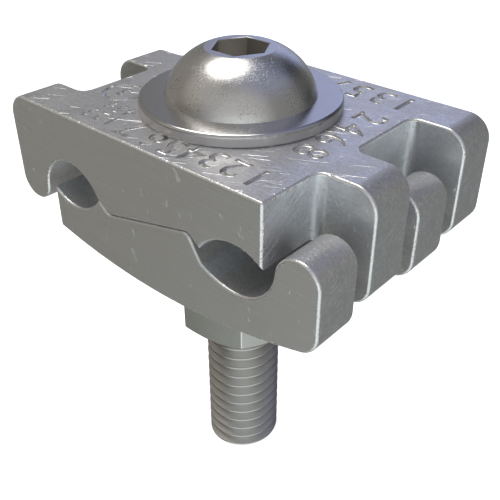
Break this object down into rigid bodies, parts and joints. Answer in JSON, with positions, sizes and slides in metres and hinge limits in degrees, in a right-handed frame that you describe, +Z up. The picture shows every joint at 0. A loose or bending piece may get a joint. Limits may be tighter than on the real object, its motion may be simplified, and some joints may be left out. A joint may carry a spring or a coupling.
{
  "type": "cable tray ground clamp",
  "caption": "Clamp with interlocking cast jaws and conductor grooves on both sides of one button head screw with washers and a nut, for grounding a cable tray.",
  "frame": {"origin": "screw's axis at the nut's lower face, where the free end of the screw starts", "axes": "+Z up the screw to its head, +X across the two conductor grooves, +Y along the conductors to the back"},
  "size_m": [0.0446, 0.0296, 0.0559],
  "materials": {
    "jaw_casting": "satin as-cast with worn bright edges",
    "screw_steel": "satin stainless steel",
    "washer_steel": "bright rolled stainless steel",
    "nut_steel": "matt stainless steel"
  },
  "bodies": {
    "screw": {"cap_screw": "screw_steel", "head_washer": "washer_steel"},
    "upper_jaw": {"upper_jaw": "jaw_casting"},
    "lower_jaw": {"lower_jaw": "jaw_casting"},
    "washers": {"flat_washer": "washer_steel", "lock_washer": "washer_steel"},
    "nut": {"hex_nut": "nut_steel"}
  },
  "joints": [
    {"name": "jaw_swivel", "type": "hinge", "parent": "screw", "child": "upper_jaw", "pos_m": [0, 0, 0.02867], "axis": [0, 0, 1], "continuous": true},
    {"name": "jaw_opening", "type": "slide", "parent": "upper_jaw", "child": "lower_jaw", "axis": [0, 0, -1], "range_m": [0, 0.0191]},
    {"name": "nut_travel", "type": "slide", "parent": "screw", "child": "washers", "axis": [0, 0, -1], "range_m": [0, 0.0191]},
    {"name": "nut_turn", "type": "hinge", "parent": "washers", "child": "nut", "pos_m": [0, 0, 0], "axis": [0, 0, -1], "range_deg": [0, 4320]}
  ],
  "couplings": [
    {"joint": "nut_travel", "follows": "nut_turn", "m_per_rad": 0.00025266},
    {"joint": "jaw_opening", "follows": "nut_turn", "m_per_rad": 0.00025266}
  ]
}
